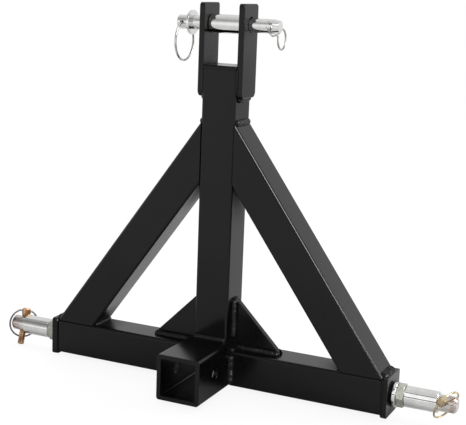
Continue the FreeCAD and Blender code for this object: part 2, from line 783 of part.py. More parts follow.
def lynch_ring(side, sign, turn):
    """Snap ring with its two ends sprung into the head, lying against the shank."""
    radius = size("lynch_ring") / 2
    stub = size("lynch_ring_stub")
    bend = size("lynch_ring_bend")
    gap = size("lynch_ring_end_gap") / 2
    drop = bend + math.sqrt((radius - bend) ** 2 - stub ** 2)
    centre = FreeCAD.Vector(0, 0, -drop)
    halves = []
    for way in (1, -1):
        bend_centre = FreeCAD.Vector(way * stub, 0, -bend)
        bend_start = FreeCAD.Vector(way * stub, 0, 0)
        bend_end = centre + unit(bend_centre - centre) * radius
        end = FreeCAD.Vector(way * gap, 0, 0)
        bulge = unit(bend_start - bend_centre) + unit(bend_end - bend_centre)
        halves.append((end, bend_start, bend_centre, bend_end, bulge))
    right, left = halves
    edges = [
        Part.LineSegment(right[0], right[1]).toShape(),
        arc(right[2], right[1], right[3], right[4]),
        arc(centre, right[3], left[3], -Z_AXIS),
        arc(left[2], left[3], left[1], left[4]),
        Part.LineSegment(left[1], left[0]).toShape(),
    ]
    ring = document.addObject("Part::Feature", side + "_lynch_ring")
    ring.Shape = wire_solid(edges, size("lynch_wire"))
    # The far side of the ring lies against the shank, on its outer side
    root = "sqrt((lynch_ring / 2 - lynch_ring_bend) ^ 2 - lynch_ring_stub ^ 2)"
    reach = f"(lynch_ring / 2 + lynch_ring_bend + {root})"
    lean = f"{-sign} * asin((lynch_shank / 2 + lynch_wire / 2 + resting_gap) / {reach})"
    tie(ring, "Placement", lynch_placement(side, sign, turn) + " * "
        + placed(("0", "0", LYNCH_PIVOT), X_AXIS, lean))
    node(ring, side + "_lynch_ring")


# Top link pin, sleeve, pull ring and clip

def top_link_pin():
    """Turned pin with a flange, a boss for the pull ring and a tapered tip."""
    body = new_body("top_link_pin")
    boss = "-" + BOSS_END
    flange_back = f"-({FLANGE_FACE} + flange_thick)"
    tip = f"({CLIP_PLACE} + pin_tip_past_clip)"
    corners = [
        (boss, "0"),
        (boss, "top_pin / 2 - boss_chamfer"),
        (boss + " + boss_chamfer", "top_pin / 2"),
        (flange_back, "top_pin / 2"),
        (flange_back, "flange / 2"),
        ("-" + FLANGE_FACE, "flange / 2"),
        ("-" + FLANGE_FACE, "top_pin / 2"),
        (tip + " - top_pin_taper", "top_pin / 2"),
        (tip, "top_pin_tip_end / 2"),
        (tip, "0"),
    ]
    revolve(body, outline(body, "XY", corners))
    pocket(body, circle(body, "XZ", boss + " + ring_hole_setback", "0", "pull_wire + ring_hole_slack"))
    across = circle(body, "XY", CLIP_PLACE, "0", "clip_wire + clip_hole_slack")
    across.AttachmentOffset = FreeCAD.Placement(FreeCAD.Vector(), FreeCAD.Rotation(X_AXIS, 1))
    tie(across, "AttachmentOffset.Rotation.Angle", "90 - clip_tilt")
    pocket(body, across)
    move(body, z=TOP_PIN_HEIGHT)


def top_sleeve():
    """Loose sleeve on the top pin, captive between the ears."""
    body = new_body("top_sleeve")
    half = "(tube_side / 2 - sleeve_end_gap)"
    inner = "(top_pin + 2 * turning_gap)"
    ring_profile(body, "-" + half, half, inner, f"({inner} + 2 * sleeve_wall)", "bushing_chamfer")
    move(body, z=TOP_PIN_HEIGHT)


def pull_ring():
    """Wire ring that hangs through the boss of the top pin."""
    ring = add("Part::Torus", "pull_ring", Radius1="pull_ring / 2", Radius2="pull_wire / 2")
    # The ring's inside rests on the ends of the hole, at the pin's surface
    drop = "sqrt((pull_ring / 2 - pull_wire / 2) ^ 2 - (top_pin / 2) ^ 2)"
    hole = "((pull_wire + ring_hole_slack) / 2)"
    place = (f"ring_hole_setback - {BOSS_END}", "0", f"{TOP_PIN_HEIGHT} + resting_gap - {hole} - {drop}")
    tie(ring, "Placement", placed(place, Y_AXIS, "90"))
    node(ring, "pull_ring")


def hair_pin_clip():
    """Spring wire clip: a straight leg through the pin, a round loop and a leg sprung over the pin."""
    radius = size("clip_loop") / 2
    pin = size("top_pin") / 2
    reach = pin + size("clip_loop_past")
    neck = size("clip_neck")
    bend = size("clip_neck_bend")
    middle = neck / 2
    centre = FreeCAD.Vector(-reach, middle, 0)
    run = math.sqrt((radius + bend) ** 2 - (bend + middle) ** 2)
    lower = FreeCAD.Vector(-reach + run, -bend, 0)
    upper = FreeCAD.Vector(-reach + run, neck + bend, 0)
    straight_end = FreeCAD.Vector(lower.x, 0, 0)
    spring_start = FreeCAD.Vector(upper.x, neck, 0)
    on_loop_low = centre + unit(lower - centre) * radius
    on_loop_high = centre + unit(upper - centre) * radius
    rise = pin + size("clip_wire") / 2 + size("clip_seat_gap")
    corners = [
        spring_start,
        FreeCAD.Vector(-pin - size("clip_shoulder_past"), neck, 0),
        FreeCAD.Vector(-size("clip_seat_half"), rise, 0),
        FreeCAD.Vector(size("clip_seat_half"), rise, 0),
        FreeCAD.Vector(pin + size("clip_dip_past"), size("clip_dip_rise"), 0),
        FreeCAD.Vector(pin + size("clip_flare_past"), size("clip_flare_rise"), 0),
    ]
    edges = [
        Part.LineSegment(FreeCAD.Vector(pin + size("clip_leg_past"), 0, 0), straight_end).toShape(),
        arc(lower, straight_end, on_loop_low, unit(straight_end - lower) + unit(on_loop_low - lower)),
        arc(centre, on_loop_low, on_loop_high, -X_AXIS),
        arc(upper, on_loop_high, spring_start, unit(spring_start - upper) + unit(on_loop_high - upper)),
    ]
    edges += bent_line(corners, size("clip_leg_bend"))
    clip = document.addObject("Part::Feature", "hair_pin_clip")
    clip.Shape = wire_solid(edges, size("clip_wire"))
    # The clip's own X runs from its loop to its tips, down towards the back, and its Z along the pin
    slope = math.radians(size("clip_tilt"))
    towards = FreeCAD.Vector(0, -math.cos(slope), math.sin(slope))
    turned = FreeCAD.Rotation(towards, X_AXIS.cross(towards), X_AXIS)
    clip.Placement = FreeCAD.Placement(FreeCAD.Vector(), turned)
    for axis, formula in zip("xyz", (CLIP_PLACE, "0", TOP_PIN_HEIGHT)):
        tie(clip, "Placement.Base." + axis, formula)
    node(clip, "hair_pin_clip")


def bent_line(corners, radius):
    """Straight runs between corners, joined by tangent arcs."""
    edges = []
    start = corners[0]
    for before, corner, after in zip(corners, corners[1:], corners[2:]):
        back = unit(before - corner)
        on = unit(after - corner)
        half = back.getAngle(on) / 2
        trim = radius / math.tan(half)
        centre = corner + unit(back + on) * (radius / math.sin(half))
        edges.append(Part.LineSegment(start, corner + back * trim).toShape())
        edges.append(arc(centre, corner + back * trim, corner + on * trim, corner - centre))
        start = corner + on * trim
    edges.append(Part.LineSegment(start, corners[-1]).toShape())
    return edges


def build():
    """Make every sub-part."""
    receiver_tube()
    mast_tube()
    mast_cap()
    for side, turn in (("right", "0"), ("left", "180")):
        cross_tube(side, turn)
        brace(side, turn)
        end_plate(side, turn)
        end_plate_weld(side, turn)
        gusset(side, turn)
        ear(side, turn)
        lock_washer(side, turn)
        washer(side, turn)
        hex_nut(side + "_nut", turn, NUT_START, "nut_thick", "nut_flats")
        hex_nut(side + "_inner_nut", turn, "(bar_length / 2 - inner_nut_thick)", "inner_nut_thick",
                "inner_nut_flats")
        bushing(side, turn)
    for side, sign in (("right", 1), ("left", -1)):
        turn = side + "_lynch_turn"
        lower_pin(side, sign, turn)
        lynch_pin(side, sign, turn)
        lynch_ring(side, sign, turn)
    receiver_welds()
    mast_foot_weld()
    gusset_welds()
    brace_welds()
    ear_welds()
    top_link_pin()
    top_sleeve()
    pull_ring()
    hair_pin_clip()


def check():
    """Stop if any object failed or any sub-part has no sound shape."""
    for thing in document.Objects:
        if "Invalid" in thing.State or "Error" in thing.State:
            raise RuntimeError(f"{thing.Label} failed: {thing.State}")
    for thing in nodes:
        if thing.Shape.isNull() or not thing.Shape.isValid() or not thing.Shape.Solids:
            raise RuntimeError(thing.Label + " has no sound solid")


def export():
    """Write one file for each sub-part."""
    os.makedirs("parts", exist_ok=True)
    for thing in nodes:
        thing.Shape.exportStep(f"parts/{thing.Label}.step")
        box = thing.Shape.BoundBox
        print(f"{thing.Label}: {len(thing.Shape.Solids)} solids, {thing.Shape.Volume / 1000:.1f} cm3, "
              f"x {box.XMin:.1f} {box.XMax:.1f}, y {box.YMin:.1f} {box.YMax:.1f}, "
              f"z {box.ZMin:.1f} {box.ZMax:.1f}")


build()
document.recompute()
check()
export()
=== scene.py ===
# %% [markdown]
# # Three point hitch adapter: finishes, weld beads, light and camera
#
# The steel frame, the pins and the joints come from the CAD part. This lesson adds what the CAD
# part leaves plain: the powder coat, the zinc plating, the ripples of the hand laid weld beads, and
# a studio with a white surround. Each cell adds one thing and prints what it made.

# %% Load the frame
import json
import math
import bpy
from mathutils import Matrix, Vector


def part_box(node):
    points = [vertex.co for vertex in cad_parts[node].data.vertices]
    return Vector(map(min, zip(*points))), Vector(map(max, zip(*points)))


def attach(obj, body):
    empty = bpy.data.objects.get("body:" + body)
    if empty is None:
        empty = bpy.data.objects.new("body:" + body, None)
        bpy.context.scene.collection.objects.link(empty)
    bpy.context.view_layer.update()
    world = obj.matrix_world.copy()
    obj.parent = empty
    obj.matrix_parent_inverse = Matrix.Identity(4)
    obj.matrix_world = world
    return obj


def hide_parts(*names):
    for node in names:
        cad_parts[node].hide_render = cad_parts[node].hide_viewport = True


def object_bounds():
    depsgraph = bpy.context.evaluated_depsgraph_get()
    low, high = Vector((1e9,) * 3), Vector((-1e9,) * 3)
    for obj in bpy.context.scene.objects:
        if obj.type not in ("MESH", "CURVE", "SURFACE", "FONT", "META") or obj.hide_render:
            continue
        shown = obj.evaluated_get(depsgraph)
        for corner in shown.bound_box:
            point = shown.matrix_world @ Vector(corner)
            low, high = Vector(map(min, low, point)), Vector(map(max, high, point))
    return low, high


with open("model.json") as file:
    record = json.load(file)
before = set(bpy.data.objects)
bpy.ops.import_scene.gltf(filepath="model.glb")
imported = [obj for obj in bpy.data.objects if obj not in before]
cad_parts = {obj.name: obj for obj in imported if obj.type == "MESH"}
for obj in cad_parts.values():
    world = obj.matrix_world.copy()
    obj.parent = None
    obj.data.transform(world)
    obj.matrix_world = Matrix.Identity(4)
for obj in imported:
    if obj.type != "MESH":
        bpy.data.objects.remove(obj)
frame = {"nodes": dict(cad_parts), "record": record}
box_at_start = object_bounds()
cad = frame["nodes"]
scene = bpy.context.scene

# %% [markdown]
# ## Links and arithmetic
#
# Every finish, the weld beads and the surround are trees of nodes, and all of them are built from
# the same few moves: give an input either a number or another node's output, and do arithmetic.
# Each link could be written out where it is needed, but one material would then fill a page.
# Three short functions keep the later cells readable.

# %% Links and arithmetic
def feed(tree, socket, value):
    """Give an input a plain value, or link another node's output to it."""
    if isinstance(value, bpy.types.NodeSocket):
        tree.links.new(value, socket)
    else:
        socket.default_value = value


def calc(tree, operation, *values):
    """Math node with its inputs given in order."""
    node = tree.nodes.new("ShaderNodeMath")
    node.operation = operation
    for socket, value in zip(node.inputs, values):
        feed(tree, socket, value)
    return node.outputs[0]


def remap(tree, value, low, high, to_low, to_high, kind="LINEAR"):
    """Map Range node, clamped: low becomes to_low and high becomes to_high."""
    node = tree.nodes.new("ShaderNodeMapRange")
    node.interpolation_type = kind
    for name, number in (("From Min", low), ("From Max", high), ("To Min", to_low), ("To Max", to_high)):
        node.inputs[name].default_value = number
    feed(tree, node.inputs["Value"], value)
    return node.outputs["Result"]


print("helpers:", [helper.__name__ for helper in (feed, calc, remap)])

# %% [markdown]
# ## Patterns and relief
#
# The coat and the plating carry no drawn pattern, only unevenness: cloudy gloss, grain and fine
# rings from the lathe. Pictures could be wrapped round the tubes and pins, but they would first need
# unfolding, and would show where they meet. Noise on object coordinates needs neither, and it
# stays on a pin when the pin moves. The same noise gives the relief, through a Bump node whose
# depth is in metres. Noise keeps to the middle of its range, so spread() stretches it to the full
# range before it blends two colours.

# %% Patterns and relief
MIX_FACTOR, MIX_FIRST, MIX_SECOND, MIX_RESULT = 0, 6, 7, 2
NOISE_LOW, NOISE_HIGH = 0.35, 0.65
NOISE_LEAST, NOISE_MOST = 0.3, 0.7
BEVEL_SAMPLES = 8


def mix(tree, factor, first, second):
    """Colour between two colours."""
    node = tree.nodes.new("ShaderNodeMix")
    node.data_type = "RGBA"
    feed(tree, node.inputs[MIX_FACTOR], factor)
    feed(tree, node.inputs[MIX_FIRST], first)
    feed(tree, node.inputs[MIX_SECOND], second)
    return node.outputs[MIX_RESULT]


def noise(tree, place, scale, detail=3.0):
    """Noise in object space, so that it stays on the piece when the piece moves."""
    node = tree.nodes.new("ShaderNodeTexNoise")
    feed(tree, node.inputs["Vector"], place)
    node.inputs["Scale"].default_value = scale
    node.inputs["Detail"].default_value = detail
    return node.outputs["Fac"]


def spread(tree, value, low=NOISE_LOW, high=NOISE_HIGH):
    """Noise stretched to the full range from 0 to 1."""
    return remap(tree, value, low, high, 0.0, 1.0)


def bump(tree, shader, height, depth, edge=0.0):
    """Relief of a depth in metres, over edges softened by a small bevel."""
    node = tree.nodes.new("ShaderNodeBump")
    node.inputs["Distance"].default_value = depth
    node.inputs["Strength"].default_value = 1.0
    feed(tree, node.inputs["Height"], height)
    if edge:
        bevel = tree.nodes.new("ShaderNodeBevel")
        bevel.samples = BEVEL_SAMPLES
        bevel.inputs["Radius"].default_value = edge
        tree.links.new(bevel.outputs["Normal"], node.inputs["Normal"])
    tree.links.new(node.outputs["Normal"], shader.inputs["Normal"])


def new_material(name, metallic, specular=0.5):
    """Material with its tree, its shader and object coordinates."""
    material = bpy.data.materials.new(name)
    material.use_nodes = True
    tree = material.node_tree
    shader = tree.nodes["Principled BSDF"]
    shader.inputs["Metallic"].default_value = metallic
    shader.inputs["Specular IOR Level"].default_value = specular
    place = tree.nodes.new("ShaderNodeTexCoord").outputs["Object"]
    return material, tree, shader, place


finishes = {}
print("helpers:", [helper.__name__ for helper in (mix, noise, spread, bump, new_material)])

# %% [markdown]
# ## Black powder coat
#
# The frame is sprayed with dry powder and baked, which leaves a thick satin skin with a faint
# orange peel. One even black would do from afar, but it looks like plastic from near by. So three
# noises share the work: one of a few centimetres varies the gloss, as spraying by hand does, one of
# about 2 mm is the peel, and a fine one is the grain. A small bevel in the shader stands for the
# powder drawing back to a soft edge, which is where such a frame shows its thin highlights, and it
# costs no triangles. The reflection seen head on is kept low, so that faces seen flat stay almost
# black while the tops, seen at a low angle, turn grey. The powder hardly reaches into hollow
# places, so an Ambient Occlusion node makes the coat rougher there, and the receiver's inside
# shows no gloss.

# %% Black powder coat
DEEP_BLACK = (0.0010, 0.0010, 0.0011, 1.0)
SOFT_BLACK = (0.0022, 0.0022, 0.0023, 1.0)
HEAD_ON_GLOSS = 0.25
PATCH_SCALE, PEEL_SCALE, GRAIN_SCALE = 16.0, 520.0, 2400.0
COAT_ROUGHNESS, GRAIN_ROUGHNESS = (0.15, 0.20), (0.0, 0.03)
GRAIN_SHARE = 0.25
HOLLOW_REACH, HOLLOW_SAMPLES = 0.04, 6
HOLLOW_SHADE, HOLLOW_ROUGHNESS = (0.15, 0.75), (0.5, 0.0)
PEEL_DEPTH, COAT_EDGE = 0.000025, 0.0012


def black_coat():
    material, tree, shader, place = new_material("black powder coat", 0.0, HEAD_ON_GLOSS)
    patches = noise(tree, place, PATCH_SCALE, detail=4.0)
    peel = noise(tree, place, PEEL_SCALE, detail=2.0)
    grain = noise(tree, place, GRAIN_SCALE, detail=1.0)
    tree.links.new(mix(tree, spread(tree, patches), DEEP_BLACK, SOFT_BLACK), shader.inputs["Base Color"])
    rough = calc(tree, "ADD", remap(tree, patches, NOISE_LOW, NOISE_HIGH, *COAT_ROUGHNESS),
                 remap(tree, grain, NOISE_LEAST, NOISE_MOST, *GRAIN_ROUGHNESS))
    hollow = tree.nodes.new("ShaderNodeAmbientOcclusion")
    hollow.samples = HOLLOW_SAMPLES
    hollow.inputs["Distance"].default_value = HOLLOW_REACH
    rough = calc(tree, "ADD", rough, remap(tree, hollow.outputs["AO"], *HOLLOW_SHADE, *HOLLOW_ROUGHNESS))
    tree.links.new(rough, shader.inputs["Roughness"])
    relief = calc(tree, "ADD", peel, calc(tree, "MULTIPLY", grain, GRAIN_SHARE))
    bump(tree, shader, relief, PEEL_DEPTH, edge=COAT_EDGE)
    return material


finishes["black_coat"] = black_coat()
print("made:", finishes["black_coat"].name)

# %% [markdown]
# ## Bright zinc
#
# The link pins, their bushings and washers are turned and then bright zinc plated, so they carry
# fine rings about their own axis. Rings could be cut into the mesh, but they are so shallow that
# the shader's relief is enough. All these pins lie along X, so noise on coordinates that are
# squeezed in Y and Z comes out as rings. Clouds and dark specks break up the mirror, because a
# perfectly even metal looks like plastic. The tips of the lower pins get a painted brown reflection of
# the yellow lynch pins beside them. It is placed by the distance from the middle along X, which both tips
# share.

# %% Bright zinc
ZINC_SHADE, ZINC_LIGHT = (0.66, 0.66, 0.655, 1.0), (0.78, 0.78, 0.765, 1.0)
ZINC_SPECK, ZINC_TIP_REFLECTION = (0.34, 0.33, 0.32, 1.0), (0.44, 0.36, 0.32, 1.0)
ZINC_ROUGHNESS = (0.05, 0.10)
RING_SCALE, RING_SQUEEZE = 2600.0, 0.03
WIDE_RING_SCALE, WIDE_RING_SQUEEZE = 420.0, 0.05
CLOUD_SCALE, CLOUD_SHARE, WIDE_RING_SHARE = 60.0, 0.6, 0.4
SPECK_SCALE, SPECK_SHOWS, SPECK_STRENGTH = 900.0, (0.68, 0.78), 0.55
TIP_REFLECTION_SCALE, TIP_REFLECTION_SHOWS, TIP_REFLECTION_STRENGTH = 130.0, (0.35, 0.6), (0.35, 0.95)
TIP_REFLECTION_STARTS, TIP_REFLECTION_FULL = 0.322, 0.334
RING_DEPTH, METAL_EDGE = 0.000004, 0.0004


def squeezed(tree, place, across):
    """Coordinates squeezed in Y and Z, so that noise on them makes rings about X."""
    node = tree.nodes.new("ShaderNodeVectorMath")
    node.operation = "MULTIPLY"
    feed(tree, node.inputs[0], place)
    node.inputs[1].default_value = (1.0, across, across)
    return node.outputs[0]


def along_x(tree, place):
    """The X of a place."""
    node = tree.nodes.new("ShaderNodeSeparateXYZ")
    tree.links.new(place, node.inputs[0])
    return node.outputs["X"]


def bright_zinc():
    material, tree, shader, place = new_material("bright zinc", 1.0)
    rings = noise(tree, squeezed(tree, place, RING_SQUEEZE), RING_SCALE, detail=2.0)
    wide_rings = noise(tree, squeezed(tree, place, WIDE_RING_SQUEEZE), WIDE_RING_SCALE, detail=2.0)
    cloud = noise(tree, place, CLOUD_SCALE, detail=4.0)
    specks = noise(tree, place, SPECK_SCALE, detail=2.0)
    tone = calc(tree, "ADD", calc(tree, "MULTIPLY", cloud, CLOUD_SHARE),
                calc(tree, "MULTIPLY", wide_rings, WIDE_RING_SHARE))
    color = mix(tree, spread(tree, tone), ZINC_SHADE, ZINC_LIGHT)
    color = mix(tree, remap(tree, specks, *SPECK_SHOWS, 0.0, SPECK_STRENGTH), color, ZINC_SPECK)
    # painted reflection: the tips of the lower pins take a brown tint from the lynch pins beside them
    tip = remap(tree, calc(tree, "ABSOLUTE", along_x(tree, place)), TIP_REFLECTION_STARTS, TIP_REFLECTION_FULL, 0.0, 1.0)
    reflection_blotch = remap(tree, noise(tree, place, TIP_REFLECTION_SCALE), *TIP_REFLECTION_SHOWS, *TIP_REFLECTION_STRENGTH)
    color = mix(tree, calc(tree, "MULTIPLY", tip, reflection_blotch), color, ZINC_TIP_REFLECTION)
    tree.links.new(color, shader.inputs["Base Color"])
    tree.links.new(remap(tree, tone, NOISE_LEAST, NOISE_MOST, *ZINC_ROUGHNESS), shader.inputs["Roughness"])
    bump(tree, shader, calc(tree, "ADD", rings, wide_rings), RING_DEPTH, edge=METAL_EDGE)
    return material


finishes["bright_zinc"] = bright_zinc()
print("made:", finishes["bright_zinc"].name)

# %% [markdown]
# ## Dull and yellow zinc
#
# The nuts are plated dull, with a grey green cast. The lynch pins have a yellow chromate, which
# drifts between gold, rose and a little green. The left one lies in more shade than the right one,
# and that shade is painted into its colour. Two materials could show that, but both pins have one slot in
# the record, so a single material turns from a darker copper on the left, as painted shade, to straw on the
# right as X grows.

# %% Dull and yellow zinc
DULL_SHADE, DULL_LIGHT = (0.44, 0.44, 0.38, 1.0), (0.62, 0.62, 0.55, 1.0)
MOTTLE_SCALE, DULL_GRAIN = 260.0, 1500.0
DULL_ROUGHNESS, DULL_DEPTH = (0.28, 0.40), 0.00003
SHADED_COPPER_DARK, SHADED_COPPER_LIGHT = (0.20, 0.10, 0.05, 1.0), (0.50, 0.31, 0.18, 1.0)
LIT_STRAW_DARK, LIT_STRAW_LIGHT = (0.34, 0.25, 0.15, 1.0), (0.80, 0.69, 0.43, 1.0)
GREEN_TINT, TINT_SHOWS, TINT_STRENGTH = (0.50, 0.46, 0.30, 1.0), (0.55, 0.75), 0.35
SHADED_LEFT_UP_TO, LIT_RIGHT_FROM = -0.1, 0.1
DRIFT_SCALE, TINT_SCALE, YELLOW_GRAIN = 110.0, 190.0, 1300.0
YELLOW_ROUGHNESS, YELLOW_DEPTH = (0.2, 0.34), 0.00002
DRIFT_LOW, DRIFT_HIGH = 0.38, 0.62


def dull_zinc():
    material, tree, shader, place = new_material("dull zinc", 1.0)
    mottle = noise(tree, place, MOTTLE_SCALE, detail=4.0)
    fine = noise(tree, place, DULL_GRAIN, detail=2.0)
    color = mix(tree, spread(tree, mottle), DULL_SHADE, DULL_LIGHT)
    tree.links.new(color, shader.inputs["Base Color"])
    rough = remap(tree, mottle, NOISE_LEAST, NOISE_MOST, *DULL_ROUGHNESS)
    tree.links.new(rough, shader.inputs["Roughness"])
    bump(tree, shader, fine, DULL_DEPTH, edge=METAL_EDGE)
    return material


def yellow_zinc():
    material, tree, shader, place = new_material("yellow chromate zinc", 1.0)
    # painted shade: the left lynch pin is coloured darker copper, the right one straw
    lit_share = remap(tree, along_x(tree, place), SHADED_LEFT_UP_TO, LIT_RIGHT_FROM, 0.0, 1.0)
    drift = noise(tree, place, DRIFT_SCALE)
    tint = noise(tree, place, TINT_SCALE, detail=2.0)
    fine = noise(tree, place, YELLOW_GRAIN, detail=2.0)
    shaded_copper = mix(tree, spread(tree, drift, DRIFT_LOW, DRIFT_HIGH), SHADED_COPPER_DARK, SHADED_COPPER_LIGHT)
    lit_straw = mix(tree, spread(tree, drift, DRIFT_LOW, DRIFT_HIGH), LIT_STRAW_DARK, LIT_STRAW_LIGHT)
    gold = mix(tree, lit_share, shaded_copper, lit_straw)
    color = mix(tree, remap(tree, tint, *TINT_SHOWS, 0.0, TINT_STRENGTH), gold, GREEN_TINT)
    tree.links.new(color, shader.inputs["Base Color"])
    rough = remap(tree, drift, NOISE_LEAST, NOISE_MOST, *YELLOW_ROUGHNESS)
    tree.links.new(rough, shader.inputs["Roughness"])
    bump(tree, shader, fine, YELLOW_DEPTH, edge=METAL_EDGE)
    return material


finishes["dull_zinc"] = dull_zinc()
finishes["yellow_zinc"] = yellow_zinc()
print("made:", finishes["dull_zinc"].name, "and", finishes["yellow_zinc"].name)

# %% [markdown]
# ## Drawn wire
#
# Rings, clip and spring washers are bent from drawn spring steel. It comes dark or plated. A third, near
# black version is painted shade for the spring washers, which sit in the shadow between plate and washer.
# The three differ in colour alone, so one function makes all of them from three colours:
# a dark and a light one that drift along the wire, and a tint of rust or old oil in patches.
# Round wire has no edge for a bevel to soften, so there is none here.

# %% Drawn wire
WIRE_SCALE, WIRE_GRAIN, RUST_SCALE = 150.0, 2000.0, 90.0
RUST_SHOWS, RUST_STRENGTH = (0.55, 0.7), 0.5
WIRE_ROUGHNESS, WIRE_DEPTH = (0.26, 0.38), 0.00001
WIRES = (("dark_wire", "dark spring wire",
          (0.10, 0.10, 0.11, 1.0), (0.24, 0.24, 0.25, 1.0), (0.20, 0.15, 0.11, 1.0)),
         # near black: painted shade for the spring washers, which lie in shadow
         ("shade_black_spring", "spring steel painted black for shade",
          (0.010, 0.010, 0.011, 1.0), (0.030, 0.030, 0.032, 1.0), (0.020, 0.016, 0.012, 1.0)),
         ("spring_wire", "plated spring wire",
          (0.34, 0.33, 0.32, 1.0), (0.60, 0.59, 0.57, 1.0), (0.42, 0.33, 0.24, 1.0)))


def drawn_wire(name, dark, light, tint):
    material, tree, shader, place = new_material(name, 1.0)
    along = noise(tree, place, WIRE_SCALE)
    fine = noise(tree, place, WIRE_GRAIN, detail=2.0)
    color = mix(tree, spread(tree, along, DRIFT_LOW, DRIFT_HIGH), dark, light)
    rust = remap(tree, noise(tree, place, RUST_SCALE), *RUST_SHOWS, 0.0, RUST_STRENGTH)
    color = mix(tree, rust, color, tint)
    tree.links.new(color, shader.inputs["Base Color"])
    rough = remap(tree, fine, NOISE_LEAST, NOISE_MOST, *WIRE_ROUGHNESS)
    tree.links.new(rough, shader.inputs["Roughness"])
    bump(tree, shader, fine, WIRE_DEPTH)
    return material


for slot, name, dark, light, tint in WIRES:
    finishes[slot] = drawn_wire(name, dark, light, tint)
print("finishes:", sorted(finishes))

# %% [markdown]
# ## Finishes on the CAD nodes
#
# The record says which slot each node's finish comes from, so the finishes are handed out by slot
# rather than one by one. A node keeps its own mesh: only its material changes. The two spring
# washers get the near black wire instead, as painted shade, because all that shows of them is the
# black shadow crescent between the plate and the washer.

# %% Put the finishes on the CAD nodes
for entry in frame["record"]["subparts"]:
    data = cad[entry["node"]].data
    data.materials.clear()
    # the spring washers are painted near black, as painted shade
    in_shade = entry["node"].endswith("lock_washer")
    data.materials.append(finishes["shade_black_spring" if in_shade else entry["material_slot"]])

# %% [markdown]
# ## The tree that lays a weld bead
#
# A weld bead is a row of overlapping puddles. Seen from the side it is a quarter round that fills
# the corner between two plates, and seen from above its ripples are crescents that bow the way the
# torch moved. A bump in the material would ripple the shading alone, and the meshes are used
# without it too, so the ripples are real geometry. Geometry Nodes suit a shape that follows a path:
# one tree lays every bead, whatever its length. These two helpers add a node with its settings,
# and keep a value with the points so that it is still known after the sweep.

# %% Helpers for the bead tree
def step(tree, kind, inputs=None, **settings):
    """Node with its settings and its inputs."""
    node = tree.nodes.new(kind)
    for name, value in settings.items():
        setattr(node, name, value)
    for key, value in (inputs or {}).items():
        feed(tree, node.inputs[key], value)
    return node


def capture(tree, geometry, kind, value):
    """Geometry that carries a value on its points, and that value."""
    node = tree.nodes.new("GeometryNodeCaptureAttribute")
    node.domain = "POINT"
    node.capture_items.new(kind, "value")
    tree.links.new(geometry, node.inputs[0])
    tree.links.new(value, node.inputs[1])
    return node.outputs[0], node.outputs[1]


print("helpers:", [helper.__name__ for helper in (step, capture)])

# %% [markdown]
# ## Sweep a sector along the rail
#
# The rail is the corner line between two plates, with a direction at each of its points in which
# the bead starts to open. A sector of the given angle is swept along it. Near an open end the
# sector shrinks along a quarter circle, as the last puddle does, and a closed bead has no ends.

# %% Sweep
ARC_POINTS = 10
THINNEST = 0.01


def sweep(tree, given):
    """Swept sector, and for its points the run along the rail, the rail's place and the sector's."""
    curve = step(tree, "GeometryNodeMeshToCurve", {"Mesh": given["Rail"]}).outputs[0]
    curve = step(tree, "GeometryNodeResampleCurve", {"Curve": curve, "Length": given["Step"]},
                 mode="LENGTH").outputs[0]
    first = step(tree, "GeometryNodeInputNamedAttribute", {"Name": "first"},
                 data_type="FLOAT_VECTOR").outputs[0]
    curve = step(tree, "GeometryNodeSetCurveNormal", {"Curve": curve, "Normal": first},
                 mode="FREE").outputs[0]
    length = tree.nodes.new("GeometryNodeSplineParameter").outputs["Length"]
    curve, run = capture(tree, curve, "FLOAT", length)
    length = tree.nodes.new("GeometryNodeSplineLength").outputs["Length"]
    curve, whole = capture(tree, curve, "FLOAT", length)
    curve, middle = capture(tree, curve, "VECTOR", tree.nodes.new("GeometryNodeInputPosition").outputs[0])

    nearest = calc(tree, "MINIMUM", run, calc(tree, "SUBTRACT", whole, run))
    nearest = calc(tree, "ADD", nearest, calc(tree, "MULTIPLY", given["Closed"], 1.0))
    short = calc(tree, "MINIMUM", calc(tree, "DIVIDE", nearest, given["End"]), 1.0)
    short = calc(tree, "POWER", calc(tree, "SUBTRACT", 1.0, short), 2.0)
    taper = calc(tree, "SQRT", calc(tree, "MAXIMUM", calc(tree, "SUBTRACT", 1.0, short), THINNEST))
    reach = calc(tree, "MULTIPLY", given["Leg"], taper)

    arc = step(tree, "GeometryNodeCurveArc", {"Resolution": ARC_POINTS, "Radius": 1.0,
                                              "Sweep Angle": given["Spread"], "Connect Center": True},
               mode="RADIUS").outputs[0]
    arc, section = capture(tree, arc, "VECTOR", tree.nodes.new("GeometryNodeInputPosition").outputs[0])
    solid = step(tree, "GeometryNodeCurveToMesh", {"Curve": curve, "Profile Curve": arc, "Scale": reach,
                                                   "Fill Caps": True}).outputs[0]
    return solid, run, middle, section


print("sector of", ARC_POINTS, "points")

# %% [markdown]
# ## Ripples
#
# The number of ripples passed so far grows along the rail. The sector's crown is a little ahead
# of its edges, and that bows each ripple to a crescent. The number's fraction gives the hump of
# one puddle, and its whole part picks how strong that puddle is. A slow noise lets the spacing
# wander, as a hand does. The seed makes each bead different, and the same in every run.

# %% Ripples
WANDER_SCALE, WANDER_RIPPLES, WANDER_PRESS = 160.0, 0.9, 0.12
VALLEY_POWER = 1.5
PUDDLE_VARIES, PUDDLE_LEAST = 0.8, 0.6
DEEPEST = 0.4


